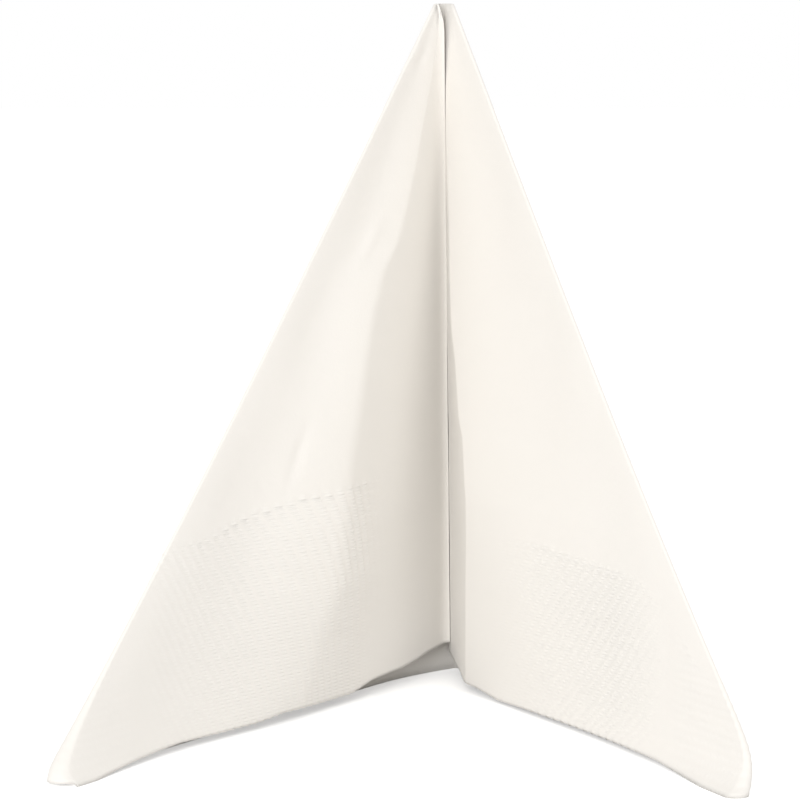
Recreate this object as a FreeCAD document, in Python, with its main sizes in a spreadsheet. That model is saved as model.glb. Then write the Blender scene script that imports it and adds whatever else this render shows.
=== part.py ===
"""Paper napkin, folded as a standing pyramid.

A square dinner napkin is half opened, so that two layers lie together as one sheet of
400 by 200 mm with the closed edge on top. Both top corners are folded down to the middle,
which leaves a right-angled triangle with a flap on each half. The triangle is then folded
along its middle line, flaps inwards, and stood on its long side: two wings that leave one
spine, each with a back panel and a flap in front of it.

Lengths are in millimetres and angles in degrees. The origin is the foot of the spine on the
table, +Z is up, and the wings open towards -Y.
"""
import math
import os

import FreeCAD
import Part
import Sketcher

SIZES = {
    # whole shape
    "height": 200.0,
    "apex_overrun": 6.5,
    "apex_lean": 3.2,
    "wing_reach": 197.0,
    "left_spread": 32.6,
    "right_spread": 23.9,
    # sheet and its folds
    "sheet_thickness": 0.7,
    "fold_radius": 1.0,
    "spine_radius": 1.5,
    # back panels, bowed beside the spine and flat towards the tips
    "left_opening": 50.0,
    "right_opening": 41.0,
    "left_bow_radius": 110.0,
    "right_bow_radius": 115.0,
    # free edges of the flaps, at the spine
    "seam_gap": 0.7,
    "seam_shift": 1.35,
    "seam_clearance": 1.7,
    "seam_depth": 2.0,
    # soft bend down each flap
    "left_bend_share": 0.22,
    "left_bulge": 10.0,
    "left_bend_radius": 20.0,
    "right_bend_share": 0.07,
    "right_bulge": 7.5,
    "right_bend_radius": 14.0,
    # lower edges of the flaps, raised beside the seam
    "left_lift": 8.5,
    "left_lift_length": 125.0,
    "right_lift": 5.0,
    "right_lift_length": 32.0,
    # flaps' edges, parted at the apex
    "notch_width": 3.4,
    "notch_depth": 6.0,
    # heights over which the tips stand upright on the table
    "left_tip_height": 4.0,
    "right_tip_height": 14.0,
}

# Heights at which the sheet's section is drawn: foot, top of the upright tips, apex
SECTION_HEIGHTS = ("0", "Sizes.right_tip_height", "Sizes.height")

# The origin lies in the middle of the sheet, so the spine's centre is a bit less than its
# radius in front of it.
SPINE_SETBACK = "Sizes.spine_radius - Sizes.sheet_thickness / 2"

# Parts of a wing's section that are straight; the others are arcs
STRAIGHT_PARTS = ("inner", "outer", "back")

# Words for the points of a piece, in the order of Sketcher's numbers for them
SPOTS = ("edge", "start", "end", "centre")

# Sketcher's numbers for its origin and its upright axis
ORIGIN = (-1, "start")
Y_AXIS = -2


def turned(vector, radians):
    """Vector turned anticlockwise in the section's plane."""
    cosine, sine = math.cos(radians), math.sin(radians)
    x = vector.x * cosine - vector.y * sine
    y = vector.x * sine + vector.y * cosine
    return FreeCAD.Vector(x, y, 0)


def right_of(heading):
    """Unit vector to the right of a heading."""
    return FreeCAD.Vector(heading.y, -heading.x, 0)


class Roller:
    """A circle that the sheet wraps around clockwise; radius 0 is a free edge."""

    def __init__(self, centre, radius):
        self.centre = centre
        self.radius = radius

    def contact(self, heading):
        """Point of the circle where the sheet runs along a heading."""
        return self.centre - right_of(heading) * self.radius


def touch(outer, inner):
    """Point at which a roller touches a smaller one inside it."""
    return outer.centre + (inner.centre - outer.centre).normalize() * outer.radius


def straight(first, second):
    """Ends of the straight sheet between two rollers that both lie on its right."""
    way = second.centre - first.centre
    lift = math.asin((second.radius - first.radius) / way.Length)
    heading = turned(way.normalize(), lift)
    return first.contact(heading), second.contact(heading)


def shrunk(lift):
    """Expression for the share of the foot's size that a section has at a height."""
    return f"(1 - {lift} / (Sizes.height + Sizes.apex_overrun))"


class Wing:
    """Expressions for one wing of a section: its free edge, soft bend and tip fold.

    Each place is a pair of distances from the spine's foot: outwards along X to the wing's
    own side, and forwards along -Y.
    """

    def __init__(self, side, shift, lift):
        self.side = side
        spread = f"Sizes.{side}_spread"
        scale = shrunk(lift)
        tip_scale = shrunk(f"Sizes.{side}_tip_height") if lift == "0" else scale
        tip = f"Sizes.wing_reach * {tip_scale}"
        self.fold = (f"{tip} * sin({spread})", f"{tip} * cos({spread})")
        edge_out = f"({shift} * Sizes.seam_shift * {scale} + Sizes.seam_gap / 2)"
        edge_down = f"(Sizes.spine_radius + Sizes.seam_clearance + Sizes.seam_depth * {scale})"
        self.edge = (edge_out, edge_down)
        self.bow_radius = f"(Sizes.sheet_thickness + Sizes.{side}_bow_radius * {scale})"
        self.bend_radius = f"(Sizes.sheet_thickness + Sizes.{side}_bend_radius * {scale})"
        inset = f"(Sizes.fold_radius + Sizes.{side}_bulge * {scale} - {self.bend_radius})"
        near = f"({edge_out} * sin({spread}) + {edge_down} * cos({spread}))"
        reach = f"Sizes.wing_reach * {scale}"
        along = f"({near} + {self.bend_radius} / 2 + Sizes.{side}_bend_share * ({reach} - {near}))"
        self.bend = (
            f"{along} * sin({spread}) - {inset} * cos({spread})",
            f"{along} * cos({spread}) + {inset} * sin({spread})",
        )


class BoundSketch:
    """Sketch on one of the body's own planes, whose dimensions are tied to the sheet."""

    def __init__(self, body, sheet, name, role):
        self.sheet = sheet
        self.sketch = body.newObject("Sketcher::SketchObject", name)
        plane = [item for item in body.Origin.OriginFeatures if item.Role == role][0]
        self.sketch.AttachmentSupport = [(plane, "")]
        self.sketch.MapMode = "FlatFace"

    def number(self, text):
        """Value of an expression in the sheet's sizes."""
        return float(self.sheet.evalExpression(text))

    def constrain(self, kind, *terms):
        """Adds a constraint whose points are named by word."""
        numbers = [SPOTS.index(term) if term in SPOTS else term for term in terms]
        return self.sketch.addConstraint(Sketcher.Constraint(kind, *numbers))

    def bind(self, expression, kind, *terms):
        """Adds a dimension and ties it to the sheet."""
        index = self.constrain(kind, *terms, self.number(expression))
        self.sketch.setExpression(f"Constraints[{index}]", expression)

    def add_line(self, start, end):
        return self.sketch.addGeometry(Part.LineSegment(start, end), False)


class BandSketch(BoundSketch):
    """Closed section of the folded sheet: outer face, inner face and two cut edges."""

    def __init__(self, body, sheet, name, lift):
        super().__init__(body, sheet, name, "XY_Plane")
        lean = f"-Sizes.apex_lean * {lift} / Sizes.height"
        self.sketch.setExpression(".AttachmentOffset.Base.z", lift)
        self.sketch.setExpression(".AttachmentOffset.Base.x", lean)
        self.left = Wing("left", 1, lift)
        self.right = Wing("right", -1, lift)
        self.draw()
        self.join()
        self.dimension()

    def point(self, wing, pair):
        """Point for a wing's pair of distances."""
        outwards = self.number(pair[0])
        x = -outwards if wing.side == "left" else outwards
        return FreeCAD.Vector(x, -self.number(pair[1]), 0)

    def add_arc(self, roller, start, end):
        """Clockwise arc about a roller's centre, from one of two points to the other."""
        first = end - roller.centre
        last = start - roller.centre
        low = math.atan2(first.y, first.x)
        high = math.atan2(last.y, last.x)
        if high < low:
            high += 2 * math.pi
        circle = Part.Circle(roller.centre, FreeCAD.Vector(0, 0, 1), first.Length)
        return self.sketch.addGeometry(Part.ArcOfCircle(circle, low, high), False)

    def run_of_pieces(self):
        """Outer face from the left flap's edge to the right one's, piece after piece.

        Yields the name, the roller (None for a straight piece), and the two ends.
        """
        spine_centre = FreeCAD.Vector(0, -self.number(SPINE_SETBACK), 0)
        spine = Roller(spine_centre, self.number("Sizes.spine_radius"))
        left_edge, left_bend, left_fold, left_bow = self.rollers(self.left, spine)
        right_edge, right_bend, right_fold, right_bow = self.rollers(self.right, spine)

        left_inner = straight(left_edge, left_bend)
        left_outer = straight(left_bend, left_fold)
        left_back = straight(left_fold, left_bow)
        right_back = straight(right_bow, right_fold)
        right_outer = straight(right_fold, right_bend)
        right_inner = straight(right_bend, right_edge)
        left_foot = touch(left_bow, spine)
        right_foot = touch(right_bow, spine)
        yield "left_inner", None, *left_inner
        yield "left_bend", left_bend, left_inner[1], left_outer[0]
        yield "left_outer", None, *left_outer
        yield "left_fold", left_fold, left_outer[1], left_back[0]
        yield "left_back", None, *left_back
        yield "left_bow", left_bow, left_back[1], left_foot
        yield "spine", spine, left_foot, right_foot
        yield "right_bow", right_bow, right_foot, right_back[0]
        yield "right_back", None, *right_back
        yield "right_fold", right_fold, right_back[1], right_outer[0]
        yield "right_outer", None, *right_outer
        yield "right_bend", right_bend, right_outer[1], right_inner[0]
        yield "right_inner", None, *right_inner

    def rollers(self, wing, spine):
        """A wing's free edge, soft bend, tip fold, and the bow that leaves the spine."""
        sign = 1 if wing.side == "left" else -1
        opening = math.radians(self.number(f"Sizes.{wing.side}_opening"))
        outwards = FreeCAD.Vector(-sign * math.cos(opening), math.sin(opening), 0)
        bow_radius = self.number(wing.bow_radius)
        edge = Roller(self.point(wing, wing.edge), 0)
        bend = Roller(self.point(wing, wing.bend), self.number(wing.bend_radius))
        fold = Roller(self.point(wing, wing.fold), self.number("Sizes.fold_radius"))
        bow = Roller(spine.centre + outwards * (spine.radius - bow_radius), bow_radius)
        return edge, bend, fold, bow

    def draw(self):
        """Both faces of the sheet, one thickness apart, and the cut edges that close them."""
        thickness = self.number("Sizes.sheet_thickness")
        self.outer = {}
        self.inner = {}
        self.ends = {}
        corners = []
        for name, roller, start, end in self.run_of_pieces():
            if roller is None:
                step = right_of((end - start).normalize()) * thickness
                self.outer[name] = self.add_line(start, end)
                self.inner[name] = self.add_line(start + step, end + step)
                corners += [(start, start + step), (end, end + step)]
            else:
                shrink = (roller.radius - thickness) / roller.radius
                start_in = roller.centre + (start - roller.centre) * shrink
                end_in = roller.centre + (end - roller.centre) * shrink
                self.outer[name] = self.add_arc(roller, start, end)
                self.inner[name] = self.add_arc(roller, start_in, end_in)
            self.ends[name] = ("end", "start") if roller else ("start", "end")
        self.left_cut = self.add_line(*corners[0])
        self.right_cut = self.add_line(*corners[-1])

    def bind_place(self, wing, pair, point):
        """Ties a point to its two distances from the spine's foot."""
        outwards = (*point, *ORIGIN) if wing.side == "left" else (*ORIGIN, *point)
        self.bind(pair[0], "DistanceX", *outwards)
        self.bind(pair[1], "DistanceY", *point, *ORIGIN)

    def join(self):
        """Smooth joints along each face, equal thickness, square cut edges."""
        names = list(self.outer)
        for face in (self.outer, self.inner):
            for name, following in zip(names, names[1:]):
                last = self.ends[name][1]
                first = self.ends[following][0]
                self.constrain("Tangent", face[name], last, face[following], first)
        for name in names:
            outer, inner = self.outer[name], self.inner[name]
            if name.endswith(STRAIGHT_PARTS):
                self.constrain("Parallel", outer, inner)
            else:
                self.constrain("Coincident", outer, "centre", inner, "centre")
        free_names = ("left_inner", "right_inner")
        ends = zip(free_names, ("start", "end"), (self.left_cut, self.right_cut))
        for name, end, cut in ends:
            self.constrain("Perpendicular", self.outer[name], end, cut, "start")
            self.constrain("Coincident", self.inner[name], end, cut, "end")
        self.bind("Sizes.sheet_thickness", "Distance", self.left_cut)

    def dimension(self):
        """Spine, tip folds, soft bends and free edges, each tied to the sheet."""
        spine = self.outer["spine"]
        self.constrain("PointOnObject", spine, "centre", Y_AXIS)
        self.bind(SPINE_SETBACK, "DistanceY", spine, "centre", *ORIGIN)
        self.bind("Sizes.spine_radius", "Radius", spine)
        width = "Sizes.spine_radius * cos(Sizes.{side}_opening)"
        self.bind(width.format(side="left"), "DistanceX", spine, "end", *ORIGIN)
        self.bind(width.format(side="right"), "DistanceX", *ORIGIN, spine, "start")
        for wing in (self.left, self.right):
            fold = self.outer[f"{wing.side}_fold"]
            bend = self.outer[f"{wing.side}_bend"]
            self.bind("Sizes.fold_radius", "Radius", fold)
            self.bind(wing.bend_radius, "Radius", bend)
            self.bind(wing.bow_radius, "Radius", self.outer[f"{wing.side}_bow"])
            self.bind_place(wing, wing.fold, (fold, "centre"))
            self.bind_place(wing, wing.bend, (bend, "centre"))
        left_edge = (self.outer["left_inner"], "start")
        right_edge = (self.outer["right_inner"], "end")
        self.bind_place(self.left, self.left.edge, left_edge)
        self.bind("Sizes.seam_gap", "DistanceX", *left_edge, *right_edge)
        self.bind(self.right.edge[1], "DistanceY", *right_edge, *ORIGIN)


class CutSketch(BoundSketch):
    """Closed straight-sided outline of a cut, each corner tied to the sheet."""

    def __init__(self, body, sheet, name, role, corners, offset=None):
        super().__init__(body, sheet, name, role)
        if offset:
            self.sketch.setExpression(".AttachmentOffset.Base.z", offset)
        points = [FreeCAD.Vector(self.number(x), self.number(y), 0) for x, y in corners]
        for start, end in zip(points, points[1:] + points[:1]):
            self.add_line(start, end)
        for number, corner in enumerate(corners):
            following = (number + 1) % len(corners)
            self.constrain("Coincident", number, "end", following, "start")
            for kind, text in zip(("DistanceX", "DistanceY"), corner):
                self.bind(text, kind, *ORIGIN, number, "start")


def lift_flap(body, sheet, side):
    """Raises a flap's lower edge beside the seam, highest at the seam itself.

    The cut is a flat pyramid. One side of its plan runs along the gap behind the flap, so
    the back panel stays whole.
    """
    sign = "-1" if side == "left" else "1"
    seam = "-Sizes.seam_shift"
    top = "-(Sizes.spine_radius + Sizes.sheet_thickness + Sizes.seam_clearance / 4)"
    between = f"Sizes.{side}_spread + (Sizes.{side}_opening - Sizes.{side}_spread) / 8"
    length = f"Sizes.{side}_lift_length"
    outlines = []
    for name, size in (("Plan", length), ("Peak", "Sizes.sheet_thickness / 10")):
        down = f"{top} - {size}"
        across = f"{seam} + {sign} * {size} * tan({between})"
        corners = ((seam, top), (across, down), (seam, down))
        height = f"Sizes.{side}_lift" if name == "Peak" else None
        outline = CutSketch(body, sheet, f"{side}Lift{name}", "XY_Plane", corners, height)
        outlines.append(outline.sketch)
    cut = body.newObject("PartDesign::SubtractiveLoft", f"{side}Lift")
    cut.Profile = outlines[0]
    cut.Sections = outlines[1:]
    cut.Ruled = True
    return cut


def part_flaps(body, sheet):
    """Opens the flaps' edges into a small V at the apex, in front of the back panels."""
    half = "Sizes.notch_width / 2"
    top = "Sizes.height + Sizes.fold_radius"
    low = "Sizes.height - Sizes.notch_depth"
    lean = "-Sizes.apex_lean"
    corners = (
        (lean, low),
        (f"{lean} + {half}", top),
        (f"{lean} - {half}", top),
    )
    offset = "Sizes.spine_radius + 2 * Sizes.sheet_thickness"
    outline = CutSketch(body, sheet, "NotchOutline", "XZ_Plane", corners, offset)
    pocket = body.newObject("PartDesign::Pocket", "ApexNotch")
    pocket.Profile = outline.sketch
    pocket.Reversed = True
    pocket.setExpression("Length", "Sizes.wing_reach")
    return pocket


def fold_sheet(body, sheet):
    """Lofts the folded sheet from the table to the apex."""
    sections = []
    for number, lift in enumerate(SECTION_HEIGHTS):
        sections.append(BandSketch(body, sheet, f"Section{number}", lift).sketch)
    loft = body.newObject("PartDesign::AdditiveLoft", "FoldedSheet")
    loft.Profile = sections[0]
    loft.Sections = sections[1:]
    loft.Ruled = True
    return loft


def main():
    doc = FreeCAD.newDocument("paper_napkin")
    sheet = doc.addObject("Spreadsheet::Sheet", "Sizes")
    for row, (alias, size) in enumerate(SIZES.items(), start=1):
        sheet.set(f"A{row}", alias)
        sheet.set(f"B{row}", str(size))
        sheet.setAlias(f"B{row}", alias)
    doc.recompute()

    body = doc.addObject("PartDesign::Body", "Napkin")
    body.Label = "napkin"
    fold_sheet(body, sheet)
    doc.recompute()
    volume = body.Shape.Volume
    for cut, terms in ((lift_flap, ["left"]), (lift_flap, ["right"]), (part_flaps, [])):
        feature = cut(body, sheet, *terms)
        doc.recompute()
        if body.Shape.Volume >= volume:
            raise RuntimeError(f"{feature.Label} removes nothing")
        volume = body.Shape.Volume

    for item in doc.Objects:
        if "Invalid" in item.State or "Error" in item.State:
            raise RuntimeError(f"{item.Label} didn't compute")
    shape = body.Shape
    if shape.isNull() or not shape.isValid() or len(shape.Solids) != 1:
        raise RuntimeError("the napkin isn't one sound solid")
    os.makedirs("parts", exist_ok=True)
    shape.exportStep(f"parts/{body.Label}.step")


main()
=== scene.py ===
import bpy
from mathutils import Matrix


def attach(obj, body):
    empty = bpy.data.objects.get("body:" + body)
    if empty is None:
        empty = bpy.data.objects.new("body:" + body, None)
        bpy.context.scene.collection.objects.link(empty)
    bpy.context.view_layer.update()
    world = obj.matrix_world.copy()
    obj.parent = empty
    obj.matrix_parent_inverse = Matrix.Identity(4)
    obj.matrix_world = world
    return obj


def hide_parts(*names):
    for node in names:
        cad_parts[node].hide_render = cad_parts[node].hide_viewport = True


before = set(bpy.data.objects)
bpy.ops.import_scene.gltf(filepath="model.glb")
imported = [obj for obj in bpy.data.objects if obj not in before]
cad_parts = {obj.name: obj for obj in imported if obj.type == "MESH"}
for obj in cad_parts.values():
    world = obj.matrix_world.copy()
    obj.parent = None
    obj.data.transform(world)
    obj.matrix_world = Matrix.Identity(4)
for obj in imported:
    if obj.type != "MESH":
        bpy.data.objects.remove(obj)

"""Looks of a paper napkin that is folded as a standing pyramid.

The finished sheet is one closed shell that stands for the plain part. Its section is of the
same kind, with free edges, soft bends, tip folds and spine, but it has sizes of its own at
every height, fitted more closely to the real sheet. The tips' roll on the table, the
embossed borders, the dents and the full run of the lower edges are made only here. The
sheet's lengths are in millimetres, and they become metres where the mesh is made. The
studio's are in metres.
"""
import logging
import math
from dataclasses import dataclass, field
from enum import Enum

import bpy
import numpy as np
from mathutils import Vector

log = logging.getLogger("napkin")

MM = 0.001
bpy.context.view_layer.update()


class Side(Enum):
    """A wing's side of the spine, with the sign of its X."""

    LEFT = -1
    RIGHT = 1

    def of(self, section: "Section") -> "Wing":
        """Wing of a section on this side."""
        return section.left if self is Side.LEFT else section.right


# Pieces of the section by number, even for straight sheet and odd for arcs: the tip folds,
# the straight pieces that end at a free edge, and those outside the soft bends
LEFT_TIP_PIECE, RIGHT_TIP_PIECE = 3, 11
LEFT_EDGE_PIECE, RIGHT_EDGE_PIECE = 0, 14
FREE_PIECES = {LEFT_EDGE_PIECE: Side.LEFT, RIGHT_EDGE_PIECE: Side.RIGHT}
OUTER_PIECES = {2: Side.LEFT, 12: Side.RIGHT}

# Form of the section: width of the turned lip, how fast a wing's spread and the notch at the
# apex grow, and how sharply a tip's fold changes from standing to following the wing
LIP_WIDTH = 7.0
CURL_POWER = 3
NOTCH_POWER = 1.5
STANDING_SHARPNESS = 4

# Embossed borders: fade at their upper limit, the stronger row there, and the fade on either
# side of the place where the ribs turn level; distance of dots along ribs, and distances of
# the level ribs and of their dots
LIMIT_FADE = 2.0
ROW_GAIN, ROW_DEPTH, ROW_WIDTH = 1.6, 1.2, 0.9
TURN_FADE = 10.0
DOT_PITCH = 1.05
LEVEL_PITCH, LEVEL_DOT_PITCH = 2.3, 2.2

# Soft waves: how many and how long, how far from the spine they begin, and the distances
# over which they fade in from the folds, the foot and the apex
WAVE_COUNT = 9
WAVE_LENGTHS = (30, 90)
SPINE_MARGIN = 4
FOLD_FADE, FOOT_FADE, APEX_FADE = 14, 12, 60

# Node group: noise scales, shares of fibres, clouds and chains of dots in height and in
# colour (the chains' share paints the raised dots lighter than the grooves, painted shade),
# how deep the dots are along a chain, and the bump, its distance in metres
FIBRE_SCALE, CLOUD_SCALE = 900.0, 60.0
FIBRE_HEIGHT, CLOUD_HEIGHT, CHAIN_HEIGHT = 0.16, 0.5, 1.1
# The chains' share in colour is painted shade: their raised dots are painted lighter than the
# grooves between them.
CLOUD_TONE, CHAIN_PAINTED_SHADE = 0.1, 0.6
DOT_SWING = 0.25
BUMP_STRENGTH, BUMP_DISTANCE = 0.6, 0.0004


@dataclass(frozen=True)
class Table:
    """A value that changes along a line, given at a few places and linear between them."""

    places: tuple[float, ...]
    values: tuple[float, ...]

    def at(self, place: np.ndarray) -> np.ndarray:
        """Value at every place."""
        return np.interp(place, self.places, self.values)


@dataclass(frozen=True)
class Dent:
    """A shallow soft hollow or ridge in a flap.

    Args:
        side: wing that carries it.
        x, z: its middle, seen from the front.
        long, wide: its half length and half width.
        turn: angle of its long way from the horizontal, in degrees.
        depth: how far it goes back into the flap; negative stands out.
    """

    side: Side
    x: float
    z: float
    long: float
    wide: float
    turn: float
    depth: float

    def push(self, x: np.ndarray, z: np.ndarray) -> np.ndarray:
        """Shift along the normal, a bell over the turned distance from the middle.

        Args:
            x, z: places seen from the front.

        Returns:
            The shift outwards, of the same shape.
        """
        angle = math.radians(self.turn)
        right, up = x - self.x, z - self.z
        along = right * math.cos(angle) + up * math.sin(angle)
        across = up * math.cos(angle) - right * math.sin(angle)
        return -self.depth * np.exp(-((along / self.long) ** 2) - (across / self.wide) ** 2)


@dataclass(frozen=True)
class Border:
    """Embossed border along a flap's lower edge.

    Args:
        top: height of the border's upper limit at places along the wing.
        strength: how strongly the ribs stand out at places along the wing.
        lean: how far a rib goes along the wing for each millimetre of height, at places.
        pitch: distance from rib to rib along the wing.
        tip_start: place along the wing beyond which the ribs lie level.
        tip_strength: strength of those level ribs.
    """

    top: Table
    strength: Table
    lean: Table
    pitch: float
    tip_start: float
    tip_strength: float


@dataclass(frozen=True)
class Tip:
    """Foot of a wing's outer fold, where the sheet rolls forward on the table.

    Args:
        height: height over which the fold stands upright.
        radius, along, forward: what the roll adds at the table to the fold's radius, to its
            distance from the spine and to its place in front of the wing.
        fade: height over which the roll fades out.
    """

    height: float
    radius: float
    along: float
    forward: float
    fade: float = 10.0


@dataclass(frozen=True)
class Wing:
    """Sizes of one wing: its back panel, tip fold and flap.

    Args:
        side: side of the spine.
        spread, spread_curl: angle between the wing and the -Y direction at the apex, and
            what the foot adds to it.
        opening, bow_radius: angle of the back panel at the spine, and radius of its bow.
        bend_share, bulge, bend_radius: place, offset and radius of the flap's soft bend, by
            height; the last two shrink towards the apex with the section.
        sag: how far the flap's outer part is hollow.
        edge_out, edge_down: free edge's distance from the spine along X and along -Y, as
            a constant and a share that shrinks with the section.
        lip: how far the free edge turns up towards the viewer.
        tip: foot of the outer fold.
        lower_edge: height of the flap's lower edge along the wing.
        border: embossed border.
    """

    side: Side
    spread: float
    spread_curl: float
    opening: float
    bow_radius: float
    bend_share: Table
    bulge: Table
    bend_radius: Table
    sag: float
    edge_out: tuple[float, float]
    edge_down: tuple[float, float]
    lip: float
    tip: Tip
    lower_edge: Table
    border: Border


@dataclass(frozen=True)
class Fold:
    """Sizes of the folded sheet that both wings share."""

    height: float = 200.0
    apex_overrun: float = 5.4
    apex_lean: float = 3.1
    wing_reach: float = 197.3
    thickness: float = 0.5
    fold_radius: float = 0.55
    spine_radius: float = 1.5
    notch_width: float = 3.2
    notch_depth: float = 7.0

    def scale(self, z: np.ndarray) -> np.ndarray:
        """Share of the foot's size that the section has at a height."""
        return 1 - z / (self.height + self.apex_overrun)


@dataclass(frozen=True)
class Roller:
    """Circles that the sheet wraps around, one for each point of a grid.

    The section's plane is the complex plane, X real and Y imaginary. A radius of 0 is a free
    edge.
    """

    centre: np.ndarray
    radius: np.ndarray

    def contact(self, heading: np.ndarray) -> np.ndarray:
        """Place of the outer face where the sheet runs along a heading."""
        return self.centre + 1j * heading * self.radius


def heading_between(first: Roller, second: Roller) -> np.ndarray:
    """Heading of the straight sheet between two rollers on its right.

    The line between the centres is turned by the angle whose sine is the difference of the
    radii over their distance.

    Args:
        first, second: the rollers, in walking order.

    Returns:
        The headings, as complex numbers of length 1.
    """
    way = second.centre - first.centre
    reach = np.abs(way)
    lift = np.arcsin(np.clip((second.radius - first.radius) / reach, -1, 1))
    return way / reach * np.exp(1j * lift)


@dataclass(frozen=True)
class Section:
    """The sheet's section at any height, from the left flap's free edge to the right one's."""

    fold: Fold
    left: Wing
    right: Wing

    def wing_rollers(self, wing: Wing, z: np.ndarray) -> list[Roller]:
        """A wing's free edge, bend, tip fold and bow, in that order.

        Args:
            wing: the wing.
            z: heights of any shape.

        Returns:
            Four rollers with a circle for each height.
        """
        fold, sign = self.fold, wing.side.value
        scale = fold.scale(z)
        spread = np.radians(wing.spread + wing.spread_curl * scale**CURL_POWER)
        outwards = sign * np.sin(spread) - 1j * np.cos(spread)
        inwards = -sign * np.cos(spread) - 1j * np.sin(spread)
        upright = wing.tip.height / STANDING_SHARPNESS
        standing = z + upright * np.log1p(np.exp((wing.tip.height - z) / upright))
        roll = np.exp(-z / wing.tip.fade)
        tip = outwards * (fold.wing_reach * fold.scale(standing) + wing.tip.along * roll)
        tip = tip + inwards * wing.tip.forward * roll
        tip_radius = fold.fold_radius + wing.tip.radius * roll

        notch = np.clip((z - fold.height + fold.notch_depth) / fold.notch_depth, 0, 1)
        edge_x = wing.edge_out[0] + wing.edge_out[1] * scale
        edge_x = edge_x + notch**NOTCH_POWER * fold.notch_width / 2
        edge_y = wing.edge_down[0] + wing.edge_down[1] * scale
        edge = sign * edge_x - 1j * edge_y

        bend_radius = fold.thickness + wing.bend_radius.at(z) * scale
        near = edge_x * np.sin(spread) + edge_y * np.cos(spread)
        reach = fold.wing_reach * scale
        along = near + wing.bend_share.at(z) * (reach - near)
        inset = fold.fold_radius + wing.bulge.at(z) * scale - bend_radius
        bend = outwards * along + inwards * inset

        opening = math.radians(wing.opening)
        bow_radius = fold.thickness + wing.bow_radius * scale
        bow = self.spine_centre() + (fold.spine_radius - bow_radius) * (
            sign * math.cos(opening) + 1j * math.sin(opening)
        )
        ones = np.ones_like(scale)
        return [
            Roller(edge, 0 * ones),
            Roller(bend, bend_radius),
            Roller(tip, tip_radius),
            Roller(bow, bow_radius),
        ]

    def spine_centre(self) -> complex:
        """Centre of the spine, a little in front of the origin."""
        return -1j * (self.fold.spine_radius - self.fold.thickness / 2)

    def rollers(self, z: np.ndarray) -> list[Roller]:
        """All rollers in walking order, the spine in the middle."""
        ones = np.ones_like(z)
        spine = Roller(self.spine_centre() * ones, self.fold.spine_radius * ones)
        left = self.wing_rollers(self.left, z)
        right = self.wing_rollers(self.right, z)
        return [*left, spine, *right[::-1]]

    def place(
        self, piece: int, share: np.ndarray, z: np.ndarray
    ) -> tuple[np.ndarray, np.ndarray]:
        """Outer face and its normal at shares of one piece of the section.

        Args:
            piece: even for the straight sheet before roller piece/2 + 1, odd for the arc
                about that roller.
            share: way along the piece, 0 to 1.
            z: heights, of the same shape.

        Returns:
            The places and the unit normals, both complex.
        """
        rollers = self.rollers(z)
        number = piece // 2
        arriving = heading_between(rollers[number], rollers[number + 1])
        if piece % 2 == 0:
            start = rollers[number].contact(arriving)
            end = rollers[number + 1].contact(arriving)
            place = start + (end - start) * share
            if piece in FREE_PIECES:
                wing, way = FREE_PIECES[piece].of(self), np.abs(end - start)
                gone = way * (share if wing.side is Side.LEFT else 1 - share)
                place = place - 1j * wing.lip * np.clip(1 - gone / LIP_WIDTH, 0, 1) ** 2
            if piece in OUTER_PIECES:
                sag = OUTER_PIECES[piece].of(self).sag * self.fold.scale(z)
                place = place - 1j * arriving * sag * np.sin(np.pi * share) ** 2
            return place, 1j * arriving
        leaving = heading_between(rollers[number + 1], rollers[number + 2])
        turn = np.angle(leaving / arriving)
        heading = arriving * np.exp(1j * turn * share)
        return rollers[number + 1].contact(heading), 1j * heading


class Zone(Enum):
    """Part of the sheet that a column of the grid belongs to."""

    LEFT_FLAP = 0
    LEFT_BACK = 1
    RIGHT_BACK = 2
    RIGHT_FLAP = 3


# Number and coarse columns of each piece of the section, in walking order. The pieces
# between a bow and the spine have no length, and no columns. EDGE_GRADING draws columns to
# the free edges, and FINE is the number of fine columns in a coarse one.
LEFT_PIECES = ((0, 42), (1, 8), (2, 50), (3, 8), (4, 36), (5, 12))
RIGHT_PIECES = ((9, 10), (10, 34), (11, 8), (12, 80), (13, 4), (14, 12))
SPINE_PIECE = (7, 4)
EDGE_GRADING = 1.4
FINE = 3


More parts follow.
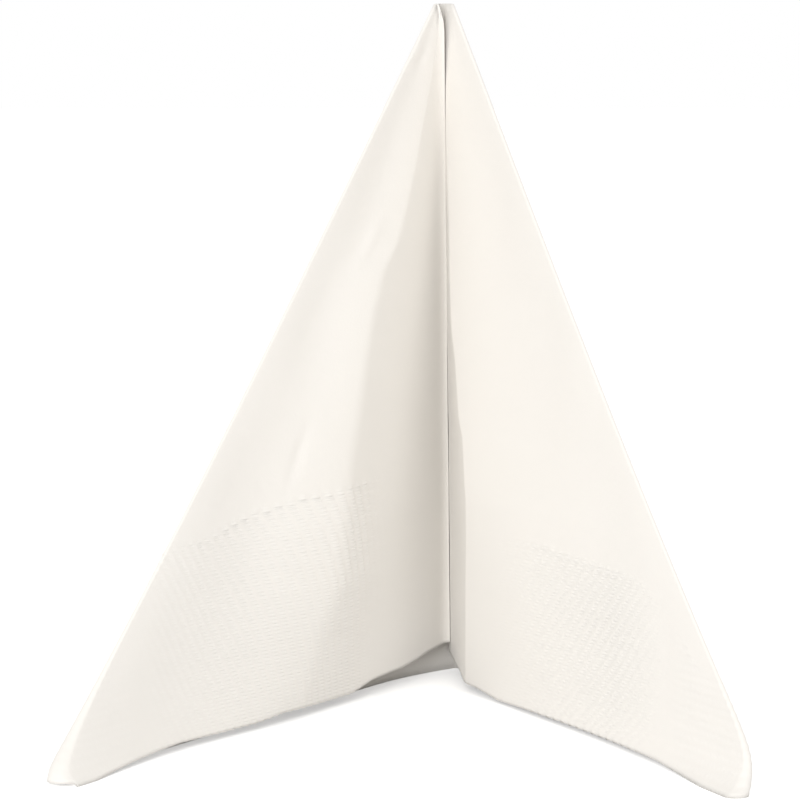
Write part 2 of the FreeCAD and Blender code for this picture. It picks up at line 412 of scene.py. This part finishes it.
@dataclass
class SheetGrid:
    """Grid of the sheet's outer face: its columns and the place of each of its points."""

    section: Section
    pieces: np.ndarray = field(init=False)
    shares: np.ndarray = field(init=False)
    zones: np.ndarray = field(init=False)

    def __post_init__(self) -> None:
        pieces, shares = [], []
        order = [*LEFT_PIECES, SPINE_PIECE, *RIGHT_PIECES]
        for number, coarse in order:
            count = coarse * FINE
            even = np.arange(count) / count
            if number == LEFT_EDGE_PIECE:
                even = even**EDGE_GRADING
            elif number == RIGHT_EDGE_PIECE:
                even = 1 - (1 - even) ** EDGE_GRADING
            pieces.append(np.full(count, number))
            shares.append(even)
        self.pieces = np.append(np.concatenate(pieces), order[-1][0])
        self.shares = np.append(np.concatenate(shares), 1.0)
        early = self.shares < 0.5
        left_tip, right_tip = self.pieces == LEFT_TIP_PIECE, self.pieces == RIGHT_TIP_PIECE
        self.zones = np.select(
            [
                (self.pieces < LEFT_TIP_PIECE) | (left_tip & early),
                self.pieces < SPINE_PIECE[0],
                (self.pieces < RIGHT_TIP_PIECE) | (right_tip & early),
            ],
            [Zone.LEFT_FLAP.value, Zone.LEFT_BACK.value, Zone.RIGHT_BACK.value],
            Zone.RIGHT_FLAP.value,
        )

    def places(self, z: np.ndarray, columns: np.ndarray) -> tuple[np.ndarray, np.ndarray]:
        """Outer face and its normals over chosen columns.

        Args:
            z: heights, a row for each row of points.
            columns: numbers of the columns.

        Returns:
            The places and the unit normals, both complex.
        """
        place = np.zeros(z.shape, complex)
        normal = np.zeros(z.shape, complex)
        pieces = self.pieces[columns]
        for piece in np.unique(pieces):
            chosen = pieces == piece
            share = np.broadcast_to(self.shares[columns][chosen], z[:, chosen].shape)
            place[:, chosen], normal[:, chosen] = self.section.place(
                int(piece), share, z[:, chosen]
            )
        return place, normal

    def wing_of(self, zone: int) -> Wing:
        """Wing that a zone belongs to."""
        left = zone in (Zone.LEFT_FLAP.value, Zone.LEFT_BACK.value)
        return self.section.left if left else self.section.right

    def along(self, place: np.ndarray, zones: np.ndarray) -> np.ndarray:
        """Distance from the spine's foot along the wing's own direction.

        Args:
            place: places in the section, the last axis over columns.
            zones: zone of each column.

        Returns:
            The distances, of the same shape as the places.
        """
        result = np.zeros(place.shape)
        for zone in Zone:
            wing = self.wing_of(zone.value)
            spread = math.radians(wing.spread + wing.spread_curl)
            way = wing.side.value * math.sin(spread) - 1j * math.cos(spread)
            chosen = zones == zone.value
            result[..., chosen] = (place[..., chosen] * np.conj(way)).real
        return result


@dataclass
class Relief:
    """Everything that makes the sheet's surface uneven, for rows of points.

    Args:
        grid: the sheet's grid.
        dents: hollows and ridges of the flaps.
        rib_height: height of the embossed ribs.
        wave_height: height of the soft waves.
        seed: start of the waves' random numbers.
    """

    grid: SheetGrid
    dents: tuple[Dent, ...]
    rib_height: float = 0.42
    wave_height: float = 0.35
    seed: int = 7

    def wing_masks(self, zones: np.ndarray) -> dict[Side, np.ndarray]:
        """Columns of each flap, as 1 or 0."""
        return {
            Side.LEFT: (zones == Zone.LEFT_FLAP.value).astype(float),
            Side.RIGHT: (zones == Zone.RIGHT_FLAP.value).astype(float),
        }

    def pattern(
        self, along: np.ndarray, z: np.ndarray, zones: np.ndarray
    ) -> tuple[np.ndarray, np.ndarray, np.ndarray]:
        """Pattern of the embossed borders.

        The phase across is the place along the wing less the lean times the height, over
        the pitch. Past the border's tip start the ribs lie level, one above the other.

        Args:
            along: distances along the wing.
            z: heights.
            zones: zone of each column.

        Returns:
            Phase across the ribs, phase along them, and strength.
        """
        across = np.zeros_like(along)
        dots = np.zeros_like(along)
        strength = np.zeros_like(along)
        for zone in Zone:
            chosen = zones == zone.value
            if not chosen.any():
                continue
            border = self.grid.wing_of(zone.value).border
            a, h = along[:, chosen], z[:, chosen]
            rib = (a - border.lean.at(a) * h) / border.pitch
            edge = border.top.at(a)
            below = np.clip((edge - h) / LIMIT_FADE, 0, 1)
            inside = below * border.strength.at(a)
            bell = np.exp(-(((h - edge + ROW_DEPTH) / ROW_WIDTH) ** 2))
            row = ROW_GAIN * bell * border.strength.at(a)
            level = a > border.tip_start
            fade = np.clip(np.abs(a - border.tip_start) / TURN_FADE, 0, 1)
            tip = border.tip_strength * below
            across[:, chosen] = np.where(level, h / LEVEL_PITCH, rib)
            dots[:, chosen] = np.where(level, a / LEVEL_DOT_PITCH, h / DOT_PITCH)
            strength[:, chosen] = np.where(level, tip, np.maximum(inside, row)) * fade
        return across, dots, strength

    def ribs(self, across: np.ndarray, strength: np.ndarray) -> np.ndarray:
        """Height of the rounded ribs, a raised cosine of the phase across."""
        return self.rib_height * strength * (0.5 + 0.5 * np.cos(2 * np.pi * across))

    def waves(self, along: np.ndarray, z: np.ndarray) -> np.ndarray:
        """Soft unevenness of the sheet, a sum of slanted waves of random length and turn."""
        random = np.random.default_rng(self.seed)
        total = np.zeros_like(along)
        for _ in range(WAVE_COUNT):
            length = random.uniform(*WAVE_LENGTHS)
            turn, phase = random.uniform(0, 2 * np.pi, 2)
            way = along * np.cos(turn) + z * np.sin(turn)
            total += np.sin(2 * np.pi * way / length + phase) * length / WAVE_LENGTHS[1]
        return self.wave_height * total / math.sqrt(WAVE_COUNT)

    def shift(
        self, x: np.ndarray, along: np.ndarray, z: np.ndarray, zones: np.ndarray
    ) -> np.ndarray:
        """Shift of waves and dents along the outer normal.

        The waves fade out at the folds, the foot and the apex.

        Args:
            x: places seen from the front.
            along: distances along the wing.
            z: heights.
            zones: zone of each column.

        Returns:
            The shift in millimetres, outwards.
        """
        fold = self.grid.section.fold
        reach = fold.wing_reach * fold.scale(z)
        at_tip = np.clip((reach - along) / FOLD_FADE, 0, 1)
        at_spine = np.clip((along - SPINE_MARGIN) / FOLD_FADE, 0, 1)
        at_apex = np.clip((fold.height - z) / APEX_FADE, 0, 1)
        at_foot = np.clip(z / FOOT_FADE, 0, 1)
        total = self.waves(along, z) * (at_tip * at_spine) * at_apex * at_foot
        masks = self.wing_masks(zones)
        for dent in self.dents:
            total = total + dent.push(x, z) * masks[dent.side]
        return total


def quads(first: np.ndarray, second: np.ndarray) -> list[tuple[int, ...]]:
    """Four-sided faces between two rows of equal length."""
    return list(zip(first[:-1], first[1:], second[1:], second[:-1]))


def ladder(dense: np.ndarray, sparse: np.ndarray) -> list[tuple[int, ...]]:
    """Faces between a dense row and a sparse one, each over one step of the sparse row.

    Args:
        dense: vertex numbers, with a whole number of steps to each step of sparse.
        sparse: vertex numbers of the other row, both in the same direction.

    Returns:
        The faces, as tuples of vertex numbers.
    """
    ratio = (len(dense) - 1) // (len(sparse) - 1)
    faces = []
    for step in range(len(sparse) - 1):
        run = dense[step * ratio : (step + 1) * ratio + 1]
        faces.append((*run, sparse[step + 1], sparse[step]))
    return faces


@dataclass
class NapkinMesh:
    """Closed shell of the folded sheet.

    Args:
        grid: the sheet's grid.
        relief: its unevenness.
        band_top: height up to which the rows are dense, for the borders.
        band_rows, upper_rows: rows below and above that height.
        row_ratio: rows of the outer face for each row of the inner one.
    """

    grid: SheetGrid
    relief: Relief
    band_top: float = 70.0
    band_rows: int = 68
    upper_rows: int = 48
    row_ratio: int = 4

    def heights(self) -> tuple[np.ndarray, np.ndarray]:
        """Heights of the points.

        Returns:
            Heights of the dense lower rows over the fine columns, which start at the lower
            edge, and heights of the upper rows.
        """
        grid = self.grid
        columns = np.arange(len(grid.pieces))
        foot, _ = grid.places(np.zeros((1, len(columns))), columns)
        along = grid.along(foot, grid.zones)[0]
        edge = np.zeros(len(columns))
        for zone in (Zone.LEFT_FLAP, Zone.RIGHT_FLAP):
            wing = grid.wing_of(zone.value)
            chosen = grid.zones == zone.value
            edge[chosen] = wing.lower_edge.at(along[chosen])
        share = np.linspace(0, 1, self.band_rows + 1)[:, None]
        lower = edge[None, :] + (self.band_top - edge[None, :]) * share
        top = grid.section.fold.height
        upper = np.linspace(self.band_top, top, self.upper_rows + 1)[1:, None]
        return lower, upper

    def inner_rows(self) -> tuple[slice, slice]:
        """Rows of the band and of the upper part that the inner face has too."""
        return slice(None, None, self.row_ratio), slice(self.row_ratio - 1, None, self.row_ratio)

    def points(self, z: np.ndarray, columns: np.ndarray) -> dict[str, np.ndarray]:
        """Points of both faces, and the pattern, over chosen columns.

        Args:
            z: heights, a row for each row of points.
            columns: numbers of the columns.

        Returns:
            "outer" and "inner" points, the phases "across" and "dots", and "strength".
        """
        grid, fold = self.grid, self.grid.section.fold
        place, normal = grid.places(z, columns)
        zones = grid.zones[columns]
        along = grid.along(place, zones)
        across, dots, strength = self.relief.pattern(along, z, zones)
        shift = self.relief.shift(place.real, along, z, zones)
        middle = place + normal * shift
        outer = middle + normal * self.relief.ribs(across, strength)
        inner = middle - normal * fold.thickness
        lean = -fold.apex_lean * z / fold.height
        return {
            "outer": np.stack([outer.real + lean, outer.imag, z], axis=-1),
            "inner": np.stack([inner.real + lean, inner.imag, z], axis=-1),
            "across": across,
            "dots": dots,
            "strength": strength,
        }

    def build(self) -> bpy.types.Object:
        """Makes the mesh object, with the pattern in a UV map and the strength in "emboss"."""
        lower, upper = self.heights()
        fine = np.arange(len(self.grid.pieces))
        coarse = fine[::FINE]
        band = self.points(lower, fine)
        top = self.points(np.broadcast_to(upper, (len(upper), len(coarse))), coarse)
        low_rows, high_rows = self.inner_rows()

        blocks = [band["outer"], top["outer"]]
        blocks += [band["inner"][low_rows, ::FINE], top["inner"][high_rows]]
        numbers, start = [], 0
        for block in blocks:
            count = block.shape[0] * block.shape[1]
            numbers.append(np.arange(start, start + count).reshape(block.shape[:2]))
            start += count
        out_low, out_up, in_low, in_up = numbers
        inner = np.concatenate([in_low, in_up])

        faces = []
        for row, following in zip(out_low, out_low[1:]):
            faces += quads(row, following)
        faces += ladder(out_low[-1], out_up[0])
        for row, following in zip(out_up, out_up[1:]):
            faces += quads(row, following)
        for row, following in zip(inner, inner[1:]):
            faces += quads(row[::-1], following[::-1])
        faces += [face[::-1] for face in ladder(out_low[0], inner[0])]
        faces += quads(out_up[-1], inner[-1])
        for column, turned in ((0, False), (-1, True)):
            dense = np.concatenate([out_low[:, column], out_up[:, column]])
            strip = ladder(dense, inner[:, column])
            faces += [face[::-1] for face in strip] if turned else strip

        points = np.concatenate([block.reshape(-1, 3) for block in blocks]) * MM
        mesh = bpy.data.meshes.new("napkin_sheet")
        mesh.from_pydata(points.tolist(), [], [tuple(int(v) for v in f) for f in faces])
        self.add_pattern(mesh, band, top)
        mesh.polygons.foreach_set("use_smooth", np.ones(len(mesh.polygons), bool))
        mesh.validate()
        mesh.update()
        napkin = bpy.data.objects.new("napkin_sheet", mesh)
        bpy.context.scene.collection.objects.link(napkin)
        log.info("napkin: %d points, %d faces", len(mesh.vertices), len(mesh.polygons))
        return napkin

    def add_pattern(
        self, mesh: bpy.types.Mesh, band: dict[str, np.ndarray], top: dict[str, np.ndarray]
    ) -> None:
        """Keeps the two phases in the UV map and the strength in a point attribute.

        Args:
            mesh: the napkin's mesh.
            band, top: what points() gave for the lower and the upper rows.
        """
        low_rows, high_rows = self.inner_rows()

        def gather(name: str) -> np.ndarray:
            """One value for each vertex, in the order of the blocks, 0 on the inner face."""
            inner = [band[name][low_rows, ::FINE] * 0, top[name][high_rows] * 0]
            return np.concatenate([b.ravel() for b in (band[name], top[name], *inner)])

        emboss = mesh.attributes.new("emboss", "FLOAT", "POINT")
        emboss.data.foreach_set("value", gather("strength").astype(np.float32))
        corner = np.zeros(len(mesh.loops), np.int32)
        mesh.loops.foreach_get("vertex_index", corner)
        phases = np.stack([gather("across"), gather("dots")], axis=-1)[corner]
        layer = mesh.uv_layers.new(name="pattern")
        layer.data.foreach_set("uv", phases.astype(np.float32).ravel())


class NodeTree:
    """Short way to add and join shader nodes in a tree."""

    def __init__(self, tree: bpy.types.NodeTree) -> None:
        self.tree = tree

    def add(self, kind: str, **values: object) -> bpy.types.Node:
        """Adds a node.

        Args:
            kind: type of the node.
            values: its properties, and under "inputs" a dictionary of its inputs, by name or
                number, each a plain value or an output to join.

        Returns:
            The node.
        """
        node = self.tree.nodes.new(kind)
        inputs = values.pop("inputs", {})
        for name, value in values.items():
            setattr(node, name, value)
        for name, value in inputs.items():
            socket = node.inputs[name]
            if isinstance(value, bpy.types.NodeSocket):
                self.tree.links.new(value, socket)
            else:
                socket.default_value = value
        return node

    def math(self, operation: str, *terms: object) -> bpy.types.NodeSocket:
        """Adds a math node and gives its result."""
        node = self.add("ShaderNodeMath", operation=operation, inputs=dict(enumerate(terms)))
        return node.outputs[0]


def relief_group() -> bpy.types.NodeTree:
    """Node group that gives the normal and the tone of embossed tissue.

    Inputs are the pattern's two phases and its strength. A chain of dots runs along each
    rib: a raised cosine across the rib times a shallow one along it. Fine fibres and soft
    clouds lie over everything. The chains also lighten the colour, so the raised dots are
    painted lighter than the grooves between them, painted shade; the clouds' share varies at
    random.
    """
    group = bpy.data.node_groups.new("EmbossedTissue", "ShaderNodeTree")
    face = group.interface
    face.new_socket("Pattern", in_out="INPUT", socket_type="NodeSocketVector")
    face.new_socket("Strength", in_out="INPUT", socket_type="NodeSocketFloat")
    face.new_socket("Normal", in_out="OUTPUT", socket_type="NodeSocketVector")
    face.new_socket("ToneAndShade", in_out="OUTPUT", socket_type="NodeSocketFloat")
    nodes = NodeTree(group)
    given = nodes.add("NodeGroupInput")
    split = nodes.add("ShaderNodeSeparateXYZ", inputs={0: given.outputs["Pattern"]})
    across = nodes.math("MULTIPLY", split.outputs[0], 2 * math.pi)
    along = nodes.math("MULTIPLY", split.outputs[1], 2 * math.pi)
    rib = nodes.math("MULTIPLY_ADD", nodes.math("COSINE", across), 0.5, 0.5)
    dot = nodes.math("MULTIPLY_ADD", nodes.math("COSINE", along), DOT_SWING, 1 - DOT_SWING)
    chain = nodes.math("MULTIPLY", rib, dot)
    chain = nodes.math("MULTIPLY", chain, given.outputs["Strength"])

    place = nodes.add("ShaderNodeTexCoord").outputs["Object"]
    fibre = nodes.add(
        "ShaderNodeTexNoise",
        inputs={"Vector": place, "Scale": FIBRE_SCALE, "Detail": 4.0, "Roughness": 0.65},
    ).outputs[0]
    cloud = nodes.add(
        "ShaderNodeTexNoise",
        inputs={"Vector": place, "Scale": CLOUD_SCALE, "Detail": 5.0, "Roughness": 0.6},
    ).outputs[0]
    height = nodes.math("MULTIPLY", cloud, CLOUD_HEIGHT)
    height = nodes.math("MULTIPLY_ADD", fibre, FIBRE_HEIGHT, height)
    height = nodes.math("MULTIPLY_ADD", chain, CHAIN_HEIGHT, height)
    bump = nodes.add(
        "ShaderNodeBump",
        inputs={"Strength": BUMP_STRENGTH, "Distance": BUMP_DISTANCE, "Height": height},
    )
    tone_and_shade = nodes.math("MULTIPLY_ADD", nodes.math("SUBTRACT", cloud, 0.5), CLOUD_TONE, 0.5)
    # Painted shade: the raised dots of the chains are painted lighter than the grooves between
    # them.
    tone_and_shade = nodes.math("MULTIPLY_ADD", chain, CHAIN_PAINTED_SHADE, tone_and_shade)
    result = nodes.add("NodeGroupOutput")
    group.links.new(bump.outputs[0], result.inputs["Normal"])
    group.links.new(tone_and_shade, result.inputs["ToneAndShade"])
    return group


def empty_material(name: str) -> tuple[bpy.types.Material, NodeTree]:
    """Makes a material, and gives it with its empty node tree."""
    material = bpy.data.materials.new(name)
    material.use_nodes = True
    material.node_tree.nodes.clear()
    return material, NodeTree(material.node_tree)


@dataclass(frozen=True)
class TissueFinish:
    """Warm white tissue, matt, with a little light that comes through.

    Args:
        colour, shade: colours of the raised and of the lower places; the raised dots are painted
            nearer the colour and the grooves nearer the shade, a painted shade, and the random
            clouds move between the two too.
        roughness: roughness of the surface.
        through: share of the light that comes through.
    """

    colour: tuple[float, float, float] = (0.955, 0.93, 0.89)
    shade: tuple[float, float, float] = (0.92, 0.89, 0.845)
    roughness: float = 0.9
    through: float = 0.1

    def material(self) -> bpy.types.Material:
        """Makes the material."""
        material, nodes = empty_material("tissue")
        pattern = nodes.add("ShaderNodeUVMap", uv_map="pattern").outputs[0]
        strength = nodes.add("ShaderNodeAttribute", attribute_name="emboss").outputs["Fac"]
        relief = nodes.add("ShaderNodeGroup", node_tree=relief_group())
        nodes.tree.links.new(pattern, relief.inputs["Pattern"])
        nodes.tree.links.new(strength, relief.inputs["Strength"])
        # Mixes from the shade colour to the full colour: the raised dots are painted lighter
        # than the grooves between them, painted shade, over random clouds.
        colour = nodes.add(
            "ShaderNodeMix",
            data_type="RGBA",
            inputs={0: relief.outputs["ToneAndShade"], 6: (*self.shade, 1), 7: (*self.colour, 1)},
        ).outputs[2]
        surface = nodes.add(
            "ShaderNodeBsdfPrincipled",
            inputs={
                "Base Color": colour,
                "Roughness": self.roughness,
                "Specular IOR Level": 0.2,
                "Sheen Weight": 0.15,
                "Sheen Roughness": 0.6,
                "Normal": relief.outputs["Normal"],
            },
        )
        glow = nodes.add(
            "ShaderNodeBsdfTranslucent",
            inputs={"Color": colour, "Normal": relief.outputs["Normal"]},
        )
        mixed = nodes.add(
            "ShaderNodeMixShader",
            inputs={0: self.through, 1: surface.outputs[0], 2: glow.outputs[0]},
        )
        nodes.add("ShaderNodeOutputMaterial", inputs={0: mixed.outputs[0]})
        return material


@dataclass
class Napkin:
    """The folded sheet with its finish, declared to the frame."""

    section: Section
    dents: tuple[Dent, ...]
    finish: TissueFinish = TissueFinish()

    def build(self, floor: bpy.types.Object) -> bpy.types.Object:
        """Makes the sheet, gives it its finish and sets it in place of the plain part.

        Args:
            floor: what the sheet stands on; not used.

        Returns:
            The sheet.
        """
        grid = SheetGrid(self.section)
        sheet = NapkinMesh(grid, Relief(grid, self.dents)).build()
        sheet.data.materials.append(self.finish.material())
        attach(sheet, "root")
        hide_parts("napkin")
        return sheet


@dataclass(frozen=True)
class Lamp:
    """A soft square lamp that looks at a point."""

    name: str
    place: tuple[float, float, float]
    target: tuple[float, float, float]
    size: float
    power: float
    colour: tuple[float, float, float] = (1.0, 1.0, 1.0)

    def build(self) -> None:
        """Makes the lamp."""
        data = bpy.data.lights.new(self.name, "AREA")
        data.shape = "SQUARE"
        data.size = self.size
        data.energy = self.power
        data.color = self.colour
        lamp = bpy.data.objects.new(self.name, data)
        lamp.location = self.place
        way = Vector(self.target) - Vector(self.place)
        lamp.rotation_euler = way.to_track_quat("-Z", "Y").to_euler()
        bpy.context.scene.collection.objects.link(lamp)


@dataclass
class Studio:
    """White floor, white surroundings, soft lamps and the camera.

    Args:
        lamps: the lamps.
        floor_half: half the floor's width.
        floor_grey: the floor's grey.
        floor_lift: what the floor adds to its light for the camera.
        soft_colour, soft_strength: light from all round.
        camera_place, camera_down: the camera's place, and its slope downwards in degrees.
        focal_length, shift: its lens.
    """

    lamps: tuple[Lamp, ...]
    floor_half: float = 3.0
    floor_grey: float = 0.93
    floor_lift: float = 0.4
    soft_colour: tuple[float, float, float] = (1.0, 0.99, 0.975)
    soft_strength: float = 0.77
    camera_place: tuple[float, float, float] = (0.0, -1.2718, 0.2401)
    camera_down: float = 6.71
    focal_length: float = 192.42
    shift: tuple[float, float] = (-0.0695, -0.037)

    def floor(self) -> bpy.types.Object:
        """Makes the floor, which is white to the camera where no shadow falls."""
        mesh = bpy.data.meshes.new("floor")
        half = self.floor_half
        corners = [(-half, -half, 0), (half, -half, 0), (half, half, 0), (-half, half, 0)]
        mesh.from_pydata(corners, [], [(0, 1, 2, 3)])
        floor = bpy.data.objects.new("floor", mesh)
        bpy.context.scene.collection.objects.link(floor)
        material, nodes = empty_material("floor")
        grey = (self.floor_grey,) * 3
        pale = nodes.add("ShaderNodeBsdfDiffuse", inputs={"Color": (*grey, 1)})
        lit = nodes.add("ShaderNodeEmission", inputs={"Strength": self.floor_lift})
        both = nodes.add(
            "ShaderNodeAddShader", inputs={0: pale.outputs[0], 1: lit.outputs[0]}
        )
        path = nodes.add("ShaderNodeLightPath")
        seen = nodes.add(
            "ShaderNodeMixShader",
            inputs={0: path.outputs["Is Camera Ray"], 1: pale.outputs[0], 2: both.outputs[0]},
        )
        nodes.add("ShaderNodeOutputMaterial", inputs={0: seen.outputs[0]})
        mesh.materials.append(material)
        return floor

    def surroundings(self) -> None:
        """White behind everything, and even soft light from all round."""
        world = bpy.data.worlds.new("surroundings")
        bpy.context.scene.world = world
        world.use_nodes = True
        world.node_tree.nodes.clear()
        nodes = NodeTree(world.node_tree)
        soft = nodes.add(
            "ShaderNodeBackground", inputs={0: (*self.soft_colour, 1), 1: self.soft_strength}
        )
        white = nodes.add("ShaderNodeBackground", inputs={0: (1, 1, 1, 1), 1: 1.0})
        path = nodes.add("ShaderNodeLightPath")
        mixed = nodes.add(
            "ShaderNodeMixShader",
            inputs={0: path.outputs["Is Camera Ray"], 1: soft.outputs[0], 2: white.outputs[0]},
        )
        nodes.add("ShaderNodeOutputWorld", inputs={0: mixed.outputs[0]})

    def camera(self) -> None:
        """Makes the camera and sets it for the scene."""
        data = bpy.data.cameras.new("camera")
        data.lens = self.focal_length
        data.sensor_width = 36.0
        data.shift_x, data.shift_y = self.shift
        data.clip_start, data.clip_end = 0.1, 20
        camera = bpy.data.objects.new("camera", data)
        camera.location = self.camera_place
        camera.rotation_euler = (math.radians(90 - self.camera_down), 0, 0)
        bpy.context.scene.collection.objects.link(camera)
        bpy.context.scene.camera = camera

    def build(self) -> bpy.types.Object:
        """Makes the whole studio and gives its floor."""
        for lamp in self.lamps:
            lamp.build()
        self.surroundings()
        self.camera()
        view = bpy.context.scene.view_settings
        view.view_transform = "Standard"
        view.look = "None"
        return self.floor()


LEFT = Wing(
    side=Side.LEFT,
    spread=32.06,
    spread_curl=1.51,
    opening=50.0,
    bow_radius=110.0,
    bend_share=Table(
        (0, 37, 54, 72, 92, 110, 124, 133, 150, 165, 190),
        (0.45, 0.46, 0.50, 0.53, 0.555, 0.575, 0.57, 0.50, 0.45, 0.42, 0.32),
    ),
    bulge=Table(
        (0, 20, 37, 54, 92, 124, 150, 172), (5.0, 8.0, 12.0, 15.0, 17.0, 16.0, 14.0, 12.0)
    ),
    bend_radius=Table((0, 30, 60, 200), (90.0, 55.0, 30.0, 22.0)),
    sag=2.5,
    edge_out=(0.25, 1.35),
    edge_down=(3.2, 2.0),
    lip=2.6,
    tip=Tip(height=4.0, radius=4.0, along=1.9, forward=5.8),
    lower_edge=Table(
        (0, 9, 19, 26, 34, 42, 51, 57, 62, 81, 95, 109, 126, 143, 152, 169, 178, 186),
        (9.6, 9.2, 8.0, 6.7, 5.7, 5.4, 4.9, 3.6, 2.6, 2.6, 3.0, 2.0, 1.9, 2.2, 1.9, 1.2, 0.6, 0),
    ),
    border=Border(
        top=Table((0, 50, 68, 92, 113, 130, 200), (67, 66, 65, 64, 61, 57, 52)),
        strength=Table((46, 56, 64, 115, 135, 160), (0.0, 0.4, 1.0, 1.0, 0.5, 0.1)),
        lean=Table((50, 60, 130, 160), (0.2, 0.23, 0.59, 0.62)),
        pitch=3.3,
        tip_start=160.0,
        tip_strength=0.25,
    ),
)

RIGHT = Wing(
    side=Side.RIGHT,
    spread=23.21,
    spread_curl=1.39,
    opening=41.0,
    bow_radius=115.0,
    bend_share=Table(
        (0, 30, 58, 75, 80, 96, 107, 137, 165),
        (0.163, 0.213, 0.268, 0.274, 0.255, 0.24, 0.216, 0.185, 0.14),
    ),
    bulge=Table((0, 30, 58, 107, 137, 165), (12.0, 15.0, 18.0, 18.0, 16.0, 14.0)),
    bend_radius=Table((0, 200), (2.5, 3.5)),
    sag=2.0,
    edge_out=(-0.55, -1.35),
    edge_down=(2.1, 2.0),
    lip=0.0,
    tip=Tip(height=9.0, radius=2.8, along=4.5, forward=8.3, fade=5.5),
    lower_edge=Table(
        (0, 5, 24, 30, 42, 55, 70, 110, 150, 165, 180),
        (6.2, 5.8, 4.0, 2.6, 2.2, 0.9, 1.2, 1.3, 1.2, 0.6, 0.0),
    ),
    border=Border(
        top=Table((0, 73, 132, 156, 165, 200), (51, 50, 47, 35, 28, 24)),
        strength=Table((50, 66, 80, 118, 135, 150), (0.0, 0.25, 0.9, 1.0, 0.5, 0.1)),
        lean=Table((0, 200), (1.03, 1.03)),
        pitch=4.4,
        tip_start=148.0,
        tip_strength=0.45,
    ),
)

DENTS = (
    Dent(Side.LEFT, x=-43.0, z=76.0, long=7.0, wide=1.6, turn=70.0, depth=0.5),
    Dent(Side.LEFT, x=-22.5, z=133.0, long=6.0, wide=1.8, turn=60.0, depth=-0.5),
    Dent(Side.LEFT, x=-8.0, z=186.0, long=3.0, wide=0.9, turn=-40.0, depth=-0.5),
    Dent(Side.LEFT, x=-6.6, z=183.0, long=1.6, wide=0.9, turn=-40.0, depth=0.5),
)

LAMPS = (
    Lamp("key", (-0.5, -2.4, 0.95), (0, -0.05, 0.1), 1.0, 29.5),
)


def main() -> None:
    """Builds the studio and the napkin."""
    logging.basicConfig(level=logging.INFO)
    floor = Studio(LAMPS).build()
    Napkin(Section(Fold(), LEFT, RIGHT), DENTS).build(floor)
    bpy.context.view_layer.update()


if __name__ == "__main__":
    main()
